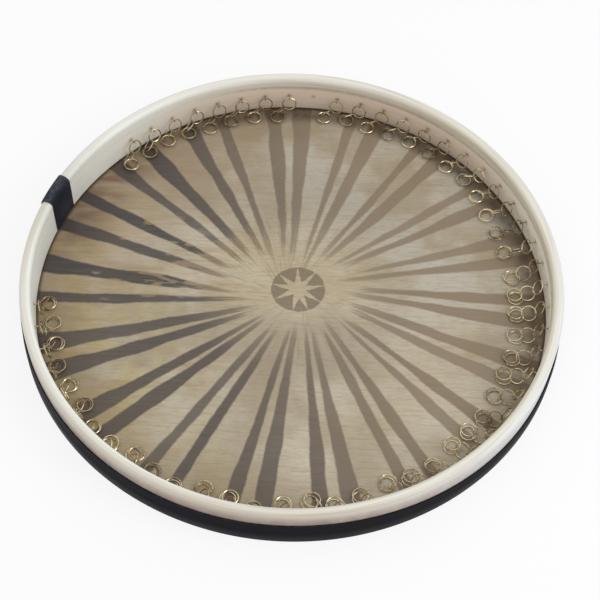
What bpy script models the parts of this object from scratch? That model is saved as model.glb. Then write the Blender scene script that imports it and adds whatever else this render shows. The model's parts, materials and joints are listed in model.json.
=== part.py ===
"""A daf: a bent wood hoop with a goatskin head and chains of brass rings hung inside it.

It lies skin down with its open back up. Metres, +Z up. The origin is the centre of the
skin's playing side, on the surface that the drum lies on.
"""
import math

import bmesh
import bpy
from mathutils import Matrix, Vector

FULL_TURN = 2.0 * math.pi
QUARTER_TURN = math.pi / 2.0
UP = Vector((0.0, 0.0, 1.0))
SHARP_ANGLE = math.radians(40.0)

# Room left between pieces that touch on the real drum
CLEARANCE = 0.0003

# Hoop: one strip of wood bent round, its open edge worked to a bead above a scribed line
HOOP_DIAMETER = 0.526
HOOP_WALL = 0.0105
HOOP_DEPTH = 0.045
HOOP_STEPS = 48
CROWN_OUTER_ROUND = 0.0035
CROWN_INNER_ROUND = 0.0050
CROWN_OUTER_SHARE = 0.4
CROWN_INNER_SHARE = 0.5
FOOT_ROUND = 0.0015
FOOT_CHAMFER = 0.0015
LINE_DROP = 0.0135
LINE_WIDTH = 0.0010
LINE_DEPTH = 0.0009

# Skin: laid over the foot of the hoop and lapped up its outside
SKIN_THICKNESS = 0.0007
SKIN_LAP = 0.014

# Edge band: a leather strip round the outside that hides the lap
BAND_THICKNESS = 0.0010
BAND_LIFT = 0.0010
BAND_TAPER = 0.0030
BAND_SEAM = 0.0006
BARE_RIM = 0.0165

# Grip wrap: leather folded over the rim where the hand holds it
WRAP_ANGLE = math.radians(160.7)
WRAP_WIDTH = 0.037
WRAP_THICKNESS = 0.0012
WRAP_LIFT = 0.0025

# Hooks: bent pins set round the inside of the hoop, clear of the grip
HOOK_COUNT = 52
HOOK_FIRST_ANGLE = math.radians(188.7)
HOOK_LAST_ANGLE = math.radians(495.2)
HOOK_WIRE = 0.0013
HOOK_SEAT = 0.0050
HOOK_LIP = 0.0016
HOOK_BURIED = 0.0040
HOOK_BEND = math.radians(90.0)
HOOK_SIDES = 4
HOLE_SIDES = 6
LOST_HOOK_ANGLE = math.radians(446.5)

# Rings: on each hook one ring, then a second, then a pair
RING_DIAMETER = 0.0160
RING_WIRE = 0.0013
RING_SIDES = 8
WIRE_SIDES = 3
RING_LEAN = math.radians(30.0)
SLACK_LEAN = math.radians(9.0)
LINK_SLOPE = math.radians(26.0)
LINK_ROLL = math.radians(50.0)
LINK_BITE = 0.00035
PAIR_SPREAD = 0.0025

# Lie of the chains: straight in at one place, and swung along the wall away from it, sooner at the back
STRAIGHT_ANGLE = math.radians(370.0)
SWAY_MOST = math.radians(78.0)
BACK_TURN = 2.0
FRONT_TURN = 0.45
SWAY_JITTER = math.radians(5.0)
SWAY_STEP = 1.9
SLIP_SHARE = 0.62
PAIR_TURN = 0.7
SLOPE_HALVINGS = 40

FACET = FULL_TURN / HOOP_STEPS

# Heights and radii that several pieces share
hoop_outer = HOOP_DIAMETER / 2.0
hoop_inner = hoop_outer - HOOP_WALL
hoop_foot = SKIN_THICKNESS + CLEARANCE
hoop_top = hoop_foot + HOOP_DEPTH
skin_outer = hoop_outer + CLEARANCE + SKIN_THICKNESS
band_top = hoop_top - BARE_RIM
crown_outer = min(CROWN_OUTER_ROUND, CROWN_OUTER_SHARE * HOOP_WALL)
crown_inner = min(CROWN_INNER_ROUND, CROWN_INNER_SHARE * HOOP_WALL)

# A ring is a polygon about as long round as the real circle, and so is its wire
ring_mean = (RING_DIAMETER - RING_WIRE) / 2.0
ring_half_side = math.pi / RING_SIDES
ring_corner = 2.0 * ring_mean / (1.0 + math.cos(ring_half_side))
ring_flat = ring_corner * math.cos(ring_half_side)
wire_half_side = math.pi / WIRE_SIDES
wire_corner = RING_WIRE / 2.0 * wire_half_side / math.sin(wire_half_side)

# Two linked rings cross with their wires a little less than a wire's width apart
link_gap = RING_WIRE - LINK_BITE
link_reach = ring_flat - link_gap


def reach_down(slope):
    """Return how far the second ring, sloping so, reaches below the link that it hangs from."""
    upright = math.hypot(math.sin(slope), math.cos(slope) * math.cos(LINK_ROLL))
    return link_reach * math.sin(slope) + ring_corner * upright


# The hooks stand so high that a straight chain's second ring just rests on the skin
first_fall = 2.0 * ring_flat * math.cos(RING_LEAN)
hook_height = first_fall + reach_down(LINK_SLOPE) + wire_corner + CLEARANCE
hook_radius = hoop_inner - HOOK_SEAT
hook_level = SKIN_THICKNESS + hook_height


def material(name, colour, roughness, metallic=0.0):
    """Return a plain Principled material."""
    finish = bpy.data.materials.new(name)
    finish.use_nodes = True
    shader = finish.node_tree.nodes["Principled BSDF"]
    shader.inputs["Base Color"].default_value = (*colour, 1.0)
    shader.inputs["Roughness"].default_value = roughness
    shader.inputs["Metallic"].default_value = metallic
    return finish


def place(name, bm, finish, location=(0.0, 0.0, 0.0), turn=0.0):
    """Make a named object of a bmesh, shaded smooth but for its real edges."""
    mesh = bpy.data.meshes.new(name)
    bm.to_mesh(mesh)
    bm.free()
    mesh.shade_smooth()
    mesh.set_sharp_from_angle(angle=SHARP_ANGLE)
    mesh.materials.append(finish)
    made = bpy.data.objects.new(name, mesh)
    made.location = location
    made.rotation_euler = (0.0, 0.0, turn)
    bpy.context.scene.collection.objects.link(made)
    return made


def combined(base, operation, tools):
    """Return a bmesh of the base object after a Boolean with each tool, and drop them all."""
    for tool in tools:
        cut = base.modifiers.new(operation, "BOOLEAN")
        cut.operation = operation
        cut.solver = "EXACT"
        cut.object = tool
    seen = base.evaluated_get(bpy.context.evaluated_depsgraph_get())
    bm = bmesh.new()
    bm.from_mesh(seen.to_mesh())
    seen.to_mesh_clear()
    for spent in [base, *tools]:
        bpy.data.objects.remove(spent, do_unlink=True)
    return bm


def arc(centre, radius, start, end, steps=2):
    """Return points of an arc in the section plane, angles in degrees."""
    angles = [math.radians(start + (end - start) * step / steps) for step in range(steps + 1)]
    return [(centre[0] + radius * math.cos(a), centre[1] + radius * math.sin(a)) for a in angles]


def close_up(bm):
    """Cap what is open and face it outward."""
    bmesh.ops.holes_fill(bm, edges=[edge for edge in bm.edges if edge.is_boundary], sides=0)
    bmesh.ops.recalc_face_normals(bm, faces=bm.faces)


def revolved(section, first=0, steps=HOOP_STEPS, closed=True):
    """Turn a section of (radius, height) points about Z, in facets that all rings share.

    Facets are counted from the middle of the grip wrap.
    """
    bm = bmesh.new()
    start = WRAP_ANGLE + FACET * first
    points = [bm.verts.new((r * math.cos(start), r * math.sin(start), z)) for r, z in section]
    for before, after in zip(points, points[1:]):
        bm.edges.new((before, after))
    if closed:
        bm.edges.new((points[-1], points[0]))
    bmesh.ops.spin(
        bm, geom=bm.verts[:] + bm.edges[:], cent=(0.0, 0.0, 0.0), axis=UP,
        angle=FACET * steps, steps=steps, use_merge=steps == HOOP_STEPS,
    )
    close_up(bm)
    return bm


def over_the_rim(offset, outer_end, inner_end):
    """Return the path up the outside, over the crown and down the inside, stood off by offset."""
    outer_arc = (hoop_outer - crown_outer, hoop_top - crown_outer)
    inner_arc = (hoop_inner + crown_inner, hoop_top - crown_inner)
    return [
        (hoop_outer + offset, outer_end),
        *arc(outer_arc, crown_outer + offset, 0.0, 90.0),
        *arc(inner_arc, crown_inner + offset, 90.0, 180.0),
        (hoop_inner - offset, inner_end),
    ]


def hook_frame(angle):
    """Return the frame of a ring's seat on its hook: X inward, Z up, the swing about Y."""
    seat = Vector((hook_radius * math.cos(angle), hook_radius * math.sin(angle), hook_level))
    return Matrix.Translation(seat) @ Matrix.Rotation(angle + math.pi, 4, "Z")


def hook_bmesh(angles):
    """Return bent pins that run from inside the wall, under each seat, to an upturned lip."""
    half = HOOK_WIRE / 2.0
    off = wire_corner + CLEARANCE + half
    route = [
        (Vector((-HOOK_SEAT - HOOK_BURIED, 0.0, -off)), 0.0),
        (Vector((off, 0.0, -off)), HOOK_BEND / 2.0),
        (Vector((off, 0.0, HOOK_LIP)), HOOK_BEND),
    ]
    bm = bmesh.new()
    for angle in angles:
        frame = hook_frame(angle)
        rings = []
        for point, lean in route:
            mitre = 1.0 / math.cos(min(lean, HOOK_BEND - lean))
            across = Matrix.Rotation(-lean, 4, "Y")
            ring = []
            for side in range(HOOK_SIDES):
                turn = FULL_TURN * (side + 0.5) / HOOK_SIDES
                flat = Vector((0.0, half * math.cos(turn), mitre * half * math.sin(turn)))
                ring.append(bm.verts.new(frame @ (point + across @ flat)))
            rings.append(ring)
        for near, far in zip(rings, rings[1:]):
            for side in range(HOOK_SIDES):
                after = (side + 1) % HOOK_SIDES
                bm.faces.new((near[side], near[after], far[after], far[side]))
        bm.faces.new(rings[0])
        bm.faces.new(rings[-1])
    bmesh.ops.recalc_face_normals(bm, faces=bm.faces)
    return bm


def make_hoop(wood, angles):
    """Make the hoop with its hooks, and the empty hole of the hook that is lost."""
    line = hoop_top - LINE_DROP
    foot_arc = (hoop_outer - FOOT_ROUND, hoop_foot + FOOT_ROUND)
    section = [
        *arc(foot_arc, FOOT_ROUND, -90.0, 0.0, steps=1),
        *over_the_rim(0.0, hoop_foot, hoop_foot)[1:-1],
        (hoop_inner + LINE_DEPTH, line),
        (hoop_inner, line - LINE_WIDTH),
        (hoop_inner, hoop_foot + FOOT_CHAMFER),
        (hoop_inner + FOOT_CHAMFER, hoop_foot),
    ]
    strip = place("strip", revolved(section), wood)
    hooks = place("hooks", hook_bmesh(angles), wood)
    bored = bmesh.new()
    hole = hook_frame(LOST_HOOK_ANGLE) @ Matrix.Translation((-HOOK_SEAT, 0.0, -HOOK_WIRE))
    bmesh.ops.create_cone(
        bored, cap_ends=True, segments=HOLE_SIDES, radius1=HOOK_WIRE / 2.0, radius2=HOOK_WIRE / 2.0,
        depth=2.0 * HOOK_BURIED, matrix=hole @ Matrix.Rotation(QUARTER_TURN, 4, "Y"),
    )
    drilled = place("drilled", combined(strip, "DIFFERENCE", [place("hole", bored, wood)]), wood)
    place("hoop", combined(drilled, "UNION", [hooks]), wood)


def make_skin(hide):
    """Make the head: a disc that turns up round the foot of the hoop into a lap."""
    turn = (hoop_outer - FOOT_ROUND, hoop_foot + FOOT_ROUND)
    inside = FOOT_ROUND + CLEARANCE
    section = [
        *arc(turn, inside + SKIN_THICKNESS, -90.0, 0.0),
        (skin_outer, SKIN_LAP),
        (hoop_outer + CLEARANCE, SKIN_LAP),
        *arc(turn, inside, 0.0, -90.0),
    ]
    place("skin_head", revolved(section, closed=False), hide)


def make_band(leather):
    """Make the strip round the outside: over the lap, then in against the bare wood."""
    low = skin_outer + CLEARANCE
    high = hoop_outer + CLEARANCE
    step = SKIN_LAP + CLEARANCE
    inside = [(low, BAND_LIFT), (low, step), (high, step + BAND_TAPER), (high, band_top)]
    outside = [(r + BAND_THICKNESS, z) for r, z in reversed(inside)]
    ring = place("ring", revolved(inside + outside), leather)
    slit = bmesh.new()
    bmesh.ops.create_cube(slit, size=1.0)
    middle = Matrix.Translation((hoop_outer, 0.0, band_top / 2.0))
    size = Matrix.Diagonal((HOOP_WALL, BAND_SEAM, 2.0 * band_top, 1.0))
    turned = Matrix.Rotation(WRAP_ANGLE, 4, "Z")
    bmesh.ops.transform(slit, matrix=turned @ middle @ size, verts=slit.verts)
    place("edge_band", combined(ring, "DIFFERENCE", [place("slit", slit, leather)]), leather)


def make_wrap(leather):
    """Make the leather folded over the rim, from above the skin to the top of the band."""
    ends = (band_top + CLEARANCE, SKIN_THICKNESS + WRAP_LIFT)
    inside = over_the_rim(CLEARANCE, *ends)
    outside = over_the_rim(CLEARANCE + WRAP_THICKNESS, *ends)
    half = WRAP_WIDTH / HOOP_DIAMETER
    facets = math.ceil(half / FACET)
    bm = revolved(outside + inside[::-1], -facets, 2 * facets)
    for side in (-1, 1):
        edge = WRAP_ANGLE + side * half
        beyond = edge + side * QUARTER_TURN
        bmesh.ops.bisect_plane(
            bm, geom=bm.verts[:] + bm.edges[:] + bm.faces[:], dist=1e-7, clear_outer=True,
            plane_co=(0.0, 0.0, 0.0), plane_no=(math.cos(beyond), math.sin(beyond), 0.0),
        )
    close_up(bm)
    place("grip_wrap", bm, leather)


def ring_bmesh(placement):
    """Return one ring, with flat sides across its own X axis, set in its placement."""
    bm = bmesh.new()
    points = []
    for side in range(WIRE_SIDES):
        turn = math.pi + FULL_TURN * side / WIRE_SIDES
        radius = ring_corner + wire_corner * math.cos(turn)
        height = wire_corner * math.sin(turn)
        points.append(bm.verts.new((
            radius * math.cos(ring_half_side), radius * math.sin(ring_half_side), height,
        )))
    for side in range(WIRE_SIDES):
        bm.edges.new((points[side - 1], points[side]))
    bmesh.ops.spin(
        bm, geom=bm.verts[:] + bm.edges[:], cent=(0.0, 0.0, 0.0), axis=UP,
        angle=FULL_TURN, steps=RING_SIDES, use_merge=True,
    )
    bmesh.ops.transform(bm, matrix=placement, verts=bm.verts)
    bmesh.ops.recalc_face_normals(bm, faces=bm.faces)
    return bm


def laid(along, across, centre):
    """Return the placement of a ring whose plane holds both directions."""
    turned = Matrix((along, across, along.cross(across))).transposed().to_4x4()
    return Matrix.Translation(centre) @ turned


def heading(yaw, slope):
    """Return the direction inward from the wall, swung sideways and sloping down."""
    level = math.cos(slope)
    return Vector((level * math.cos(yaw), level * math.sin(yaw), -math.sin(slope)))


def slope_to_rest(drop):
    """Return the slope at which the second ring reaches that far down."""
    low, high = 0.0, QUARTER_TURN
    for _ in range(SLOPE_HALVINGS):
        middle = (low + high) / 2.0
        if reach_down(middle) < drop:
            low = middle
        else:
            high = middle
    return low


def chain_placements(sway):
    """Return the placements of a chain's four rings in the frame of its hook's seat.

    The link slips round the first ring to the side that the second one is swung to, and the
    first ring then hangs straighter down.
    """
    lean = SLACK_LEAN + (RING_LEAN - SLACK_LEAN) * math.cos(sway)
    hanging = Vector((math.sin(lean), 0.0, -math.cos(lean)))
    sideways = Vector((0.0, 1.0, 0.0))
    slip = SLIP_SHARE * sway
    pulled = math.cos(slip) * hanging + math.sin(slip) * sideways
    across = math.cos(slip) * sideways - math.sin(slip) * hanging
    off_flat = (slip + ring_half_side) % (2.0 * ring_half_side) - ring_half_side
    first_centre = ring_flat / math.cos(off_flat) * hanging
    placements = [laid(pulled, across, first_centre)]

    rest = -hook_height + CLEARANCE + wire_corner
    link = first_centre + ring_flat * pulled
    second = heading(sway, slope_to_rest(link.z - rest))
    level = UP.cross(second).normalized()
    roll = -math.copysign(LINK_ROLL, sway)
    rolled = math.cos(roll) * second.cross(level) + math.sin(roll) * level
    second_centre = link + link_reach * second
    placements.append(laid(second, rolled, second_centre))

    span = ring_flat + link_reach
    pile = PAIR_SPREAD * rolled.z
    for order, offset in enumerate((-0.5, 0.5)):
        crossing = second_centre + ring_flat * second + offset * PAIR_SPREAD * rolled
        slope = math.asin((crossing.z - rest - order * pile) / span)
        lying = heading(-PAIR_TURN * sway, slope)
        aside = UP.cross(lying).normalized()
        placements.append(laid(lying, aside, crossing + link_reach * lying))
    return placements


def make_chain(name, angle, sway, brass):
    """Make one chain of four linked rings, with its origin on the axis that it swings about."""
    rings = [place("ring", ring_bmesh(spot), brass) for spot in chain_placements(sway)]
    linked = combined(rings[0], "UNION", rings[1:])
    frame = hook_frame(angle)
    place(name, linked, brass, location=frame.translation, turn=angle + math.pi)


def jitter_room(pitch):
    """Return how much the chains' sways may differ with each pair clear of the next."""
    reach = 2.0 * ring_flat * math.sin(RING_LEAN) + 2.0 * link_reach + ring_flat
    pair_width = 2.0 * (ring_corner + wire_corner) + PAIR_SPREAD * math.sin(LINK_ROLL)
    spare = pitch * (hook_radius - reach) - pair_width - CLEARANCE
    shift = SLIP_SHARE * ring_flat + ring_flat + (1.0 - PAIR_TURN) * link_reach
    most_steps = 2.0 * math.sin(SWAY_STEP / 2.0)
    return min(SWAY_JITTER, max(0.0, spare / (most_steps * shift)))


for old in list(bpy.data.objects):
    bpy.data.objects.remove(old, do_unlink=True)

pale_wood = material("pale wood", (0.66, 0.58, 0.47), 0.55)
goatskin = material("goatskin", (0.37, 0.31, 0.20), 0.60)
black_leather = material("black leather", (0.013, 0.013, 0.017), 0.55)
wrap_leather = material("wrap leather", (0.021, 0.023, 0.033), 0.50)
ring_brass = material("ring brass", (0.62, 0.52, 0.32), 0.30, metallic=1.0)

hook_pitch = (HOOK_LAST_ANGLE - HOOK_FIRST_ANGLE) / (HOOK_COUNT - 1)
hook_angles = [HOOK_FIRST_ANGLE + hook_pitch * index for index in range(HOOK_COUNT)]
hook_angles.remove(min(hook_angles, key=lambda angle: abs(angle - LOST_HOOK_ANGLE)))

make_hoop(pale_wood, hook_angles)
make_skin(goatskin)
make_band(black_leather)
make_wrap(wrap_leather)
jitter = jitter_room(hook_pitch)
for number, hook_angle in enumerate(hook_angles, start=1):
    off_straight = hook_angle - STRAIGHT_ANGLE
    turn = max(FRONT_TURN * off_straight, min(BACK_TURN * off_straight, QUARTER_TURN))
    swing = jitter * math.sin(SWAY_STEP * number) - SWAY_MOST * math.sin(turn)
    make_chain(f"ring_chain_{number:02d}", hook_angle, swing, ring_brass)
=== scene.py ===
import json
import math

import bmesh
import bpy
from mathutils import Matrix, Vector


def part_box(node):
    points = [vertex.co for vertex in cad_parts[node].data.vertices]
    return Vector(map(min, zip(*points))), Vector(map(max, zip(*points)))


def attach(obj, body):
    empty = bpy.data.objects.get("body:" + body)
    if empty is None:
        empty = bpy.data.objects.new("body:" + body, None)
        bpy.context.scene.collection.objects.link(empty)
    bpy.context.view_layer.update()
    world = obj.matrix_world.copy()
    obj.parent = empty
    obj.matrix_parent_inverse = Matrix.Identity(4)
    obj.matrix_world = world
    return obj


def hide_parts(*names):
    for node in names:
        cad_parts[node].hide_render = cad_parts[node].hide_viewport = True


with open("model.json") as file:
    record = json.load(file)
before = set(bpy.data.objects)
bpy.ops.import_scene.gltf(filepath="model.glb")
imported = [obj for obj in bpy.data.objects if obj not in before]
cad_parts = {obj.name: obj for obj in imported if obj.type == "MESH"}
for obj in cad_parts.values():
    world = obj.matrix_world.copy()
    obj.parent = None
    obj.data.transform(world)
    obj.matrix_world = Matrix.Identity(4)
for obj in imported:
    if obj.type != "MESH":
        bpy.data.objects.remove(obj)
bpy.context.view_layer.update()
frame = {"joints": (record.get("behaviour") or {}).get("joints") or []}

# The hoop
# One strip of thinly varnished pale hardwood, bent round with steam, its ends lapped under the grip.
# Its open edge is rounded over into a bead above a scribed line, which fades out on the left.
FULL_TURN = 2.0 * math.pi
QUARTER_TURN = math.pi / 2.0
UP = Vector((0.0, 0.0, 1.0))
ROUND_STEPS = 240
CREASE_ANGLE = math.radians(38.0)
GRIP_ANGLE = math.radians(160.7)
HOOP_RADIUS = 0.263
HOOP_WALL = 0.0105
CROWN_OUTER = 0.0035
CROWN_INNER = 0.0050
FOOT_ROUND = 0.0015
BEAD_DROP = 0.0135
BEAD_DEPTH = 0.0009
BEAD_STEPS = 6
QUIRK_WIDTH = 0.0010
FAINT_AT = math.radians(165.0)
FAINT_FROM = 0.5
FAINT_FULL = 0.9
FAINT_SHARE = 0.85
TANNED_AT = math.radians(80.0)
HANDLED_HALF = 0.42
WRAPPED_HALF = 0.06
WIRE_RADIUS = 0.00065
WOOD_PALE = (229, 227, 217)
WOOD_GRAIN = (209, 201, 184)
WOOD_CLOUD = (222, 217, 205)
WOOD_LIT_RIGHT_WALL = (226, 219, 199)
WOOD_LIT_RIGHT_LOWER_WALL = (244, 238, 222)
WOOD_LIT_LEFT = (240, 243, 237)
WOOD_TANNED = (218, 198, 177)
WOOD_COOL_LIGHT = (221, 227, 234)
WOOD_FRONT_EDGE_DARKER = (190, 175, 157)
WOOD_SHADE_AND_GRIME = (157, 141, 131)
WOOD_PORES = (182, 163, 141)
WOOD_DIRT_AND_SHADE = (122, 100, 78)

hoop_low, hoop_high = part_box("hoop")
hoop_foot = hoop_low.z
hoop_top = hoop_high.z
hoop_inner = HOOP_RADIUS - HOOP_WALL
band_low, band_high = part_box("edge_band")
bead_foot = hoop_top - BEAD_DROP
seats = [Vector(joint["pos_m"]) for joint in frame["joints"]]
hook_angles = [math.atan2(seat.y, seat.x) for seat in seats]
hook_pitch = hook_angles[1] - hook_angles[0]
seat_level = seats[0].z
pin_level = seat_level - 2.0 * WIRE_RADIUS


def arc(centre, radius, start, end, steps):
    """Return (radius, height) points of an arc in a section, with its angles in degrees."""
    angles = [math.radians(start + (end - start) * step / steps) for step in range(steps + 1)]
    return [(centre[0] + radius * math.cos(a), centre[1] + radius * math.sin(a)) for a in angles]


def turned(section, closed=True, start=0.0, sweep=FULL_TURN, steps=ROUND_STEPS):
    """Turn a section of (radius, height) points about the drum's axis, and cap what is open."""
    bm = bmesh.new()
    points = [bm.verts.new((r * math.cos(start), r * math.sin(start), z)) for r, z in section]
    for before, after in zip(points, points[1:]):
        bm.edges.new((before, after))
    if closed:
        bm.edges.new((points[-1], points[0]))
    bmesh.ops.spin(
        bm, geom=bm.verts[:] + bm.edges[:], cent=(0.0, 0.0, 0.0), axis=UP,
        angle=sweep, steps=steps, use_merge=sweep == FULL_TURN,
    )
    bmesh.ops.remove_doubles(bm, verts=bm.verts, dist=1e-6)
    bmesh.ops.holes_fill(bm, edges=[edge for edge in bm.edges if edge.is_boundary], sides=0)
    bmesh.ops.recalc_face_normals(bm, faces=bm.faces)
    return bm


def dress(name, bm, finish, body, slot, *nodes):
    """Make a piece of a bmesh, tie it to its body, and hide the nodes that it stands for."""
    mesh = bpy.data.meshes.new(name)
    bm.to_mesh(mesh)
    bm.free()
    mesh.shade_smooth()
    mesh.set_sharp_from_angle(angle=CREASE_ANGLE)
    mesh.materials.append(finish)
    piece = bpy.data.objects.new(name, mesh)
    bpy.context.scene.collection.objects.link(piece)
    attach(piece, body)
    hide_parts(*nodes)


def colour(red, green, blue):
    """Return the linear colour of sRGB values out of 255."""
    parts = [value / 255.0 for value in (red, green, blue)]
    linear = [((part + 0.055) / 1.055) ** 2.4 if part > 0.04045 else part / 12.92 for part in parts]
    return (*linear, 1.0)


def add(tree, kind, inputs=None, **settings):
    """Add a shader node with its settings and inputs, each a value or another node's output."""
    node = tree.nodes.new("ShaderNode" + kind)
    for name, value in settings.items():
        setattr(node, name, value)
    for key, value in (inputs or {}).items():
        if isinstance(value, bpy.types.NodeSocket):
            tree.links.new(value, node.inputs[key])
        else:
            node.inputs[key].default_value = value
    return node


def calc(tree, operation, *values):
    """Return the output of a Math node."""
    return add(tree, "Math", dict(enumerate(values)), operation=operation).outputs[0]


def times(tree, *factors):
    """Return the product of masks and values."""
    product = factors[0]
    for factor in factors[1:]:
        product = calc(tree, "MULTIPLY", product, factor)
    return product


def inverse(tree, mask):
    """Return a mask turned round, so that 1 is 0."""
    return calc(tree, "SUBTRACT", 1.0, mask)


def graded(tree, mask, low, high):
    """Return a value that is low where a mask is 0, and high where it is 1."""
    return calc(tree, "MULTIPLY_ADD", mask, high - low, low)


def rise(tree, value, start, end):
    """Return a mask that goes smoothly from 0 at start to 1 at end."""
    limits = {"Value": value, "From Min": start, "From Max": end}
    return add(tree, "MapRange", limits, interpolation_type="SMOOTHSTEP").outputs[0]


def toward(tree, angle, direction):
    """Return the cosine of an angle from a direction."""
    return calc(tree, "COSINE", calc(tree, "SUBTRACT", angle, direction))


def side(tree, angle, direction, start, end):
    """Return a mask of one side of the drum, from one cosine of the angle off its direction to another."""
    return rise(tree, toward(tree, angle, direction), start, end)


def off_nearest(tree, turns):
    """Return how far a value lies from the nearest whole number."""
    return calc(tree, "SUBTRACT", calc(tree, "FRACT", calc(tree, "ADD", turns, 0.5)), 0.5)


def noise(tree, point, scale, detail=2.0):
    """Return a noise value about 0.5."""
    return add(tree, "TexNoise", {"Vector": point, "Scale": scale, "Detail": detail}).outputs[0]


def blend(tree, amount, first, second):
    """Return a colour between two."""
    return add(tree, "Mix", {0: amount, 6: first, 7: second}, data_type="RGBA").outputs[2]


def tint(tree, tone, mask, share, stain):
    """Return a tone that is stained with an sRGB colour, by a share of a mask."""
    return blend(tree, times(tree, mask, share), tone, colour(*stain))


def new_finish(name):
    """Return a new material with its node tree and its Principled shader."""
    finish = bpy.data.materials.new(name)
    finish.use_nodes = True
    return finish, finish.node_tree, finish.node_tree.nodes["Principled BSDF"]


def relief(tree, shader, height, strength, distance):
    """Feed a height through a Bump node to the shader's normal."""
    bump = add(tree, "Bump", {"Height": height, "Strength": strength, "Distance": distance})
    tree.links.new(bump.outputs["Normal"], shader.inputs["Normal"])


def new_group(name, inputs, outputs):
    """Return a new shader node group with its input and output nodes."""
    group = bpy.data.node_groups.new(name, "ShaderNodeTree")
    for socket, kind in inputs:
        group.interface.new_socket(socket, in_out="INPUT", socket_type="NodeSocket" + kind)
    for socket in outputs:
        group.interface.new_socket(socket, in_out="OUTPUT", socket_type="NodeSocketFloat")
    return group, group.nodes.new("NodeGroupInput"), group.nodes.new("NodeGroupOutput")


def make_polar():
    """Make the group that gives a point's angle about Z, its distance from Z and its height."""
    group, start, end = new_group("round the drum", [("Point", "Vector")], ["Angle", "Radius", "Height"])
    point = add(group, "SeparateXYZ", {0: start.outputs["Point"]}).outputs
    across = times(group, point["X"], point["X"])
    away = times(group, point["Y"], point["Y"])
    radius = calc(group, "SQRT", calc(group, "ADD", across, away))
    group.links.new(calc(group, "ARCTAN2", point["Y"], point["X"]), end.inputs["Angle"])
    group.links.new(radius, end.inputs["Radius"])
    group.links.new(point["Z"], end.inputs["Height"])
    return group


def polar_of(tree, point):
    """Place the polar group on a point, and return its outputs."""
    return add(tree, "Group", {"Point": point}, node_tree=round_the_drum).outputs


def strand(tree, polar, lengthwise, crosswise):
    """Return a point whose noise runs in streaks round the hoop."""
    along = times(tree, polar["Angle"], HOOP_RADIUS * lengthwise)
    inward = times(tree, polar["Radius"], crosswise)
    upward = times(tree, polar["Height"], crosswise)
    return add(tree, "CombineXYZ", {0: along, 1: inward, 2: upward}).outputs[0]


def hook_stain(tree, angle, height):
    """Return a mask of the stains in the wood round the hooks."""
    hooks_along = calc(tree, "DIVIDE", calc(tree, "SUBTRACT", angle, hook_angles[0]), hook_pitch)
    sideways = times(tree, off_nearest(tree, hooks_along), hook_pitch * hoop_inner)
    upward = calc(tree, "SUBTRACT", height, pin_level)
    apart = add(tree, "CombineXYZ", {0: sideways, 1: upward}).outputs[0]
    apart = add(tree, "VectorMath", {0: apart}, operation="LENGTH").outputs["Value"]
    return inverse(tree, rise(tree, apart, 0.0006, 0.0042))


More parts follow.
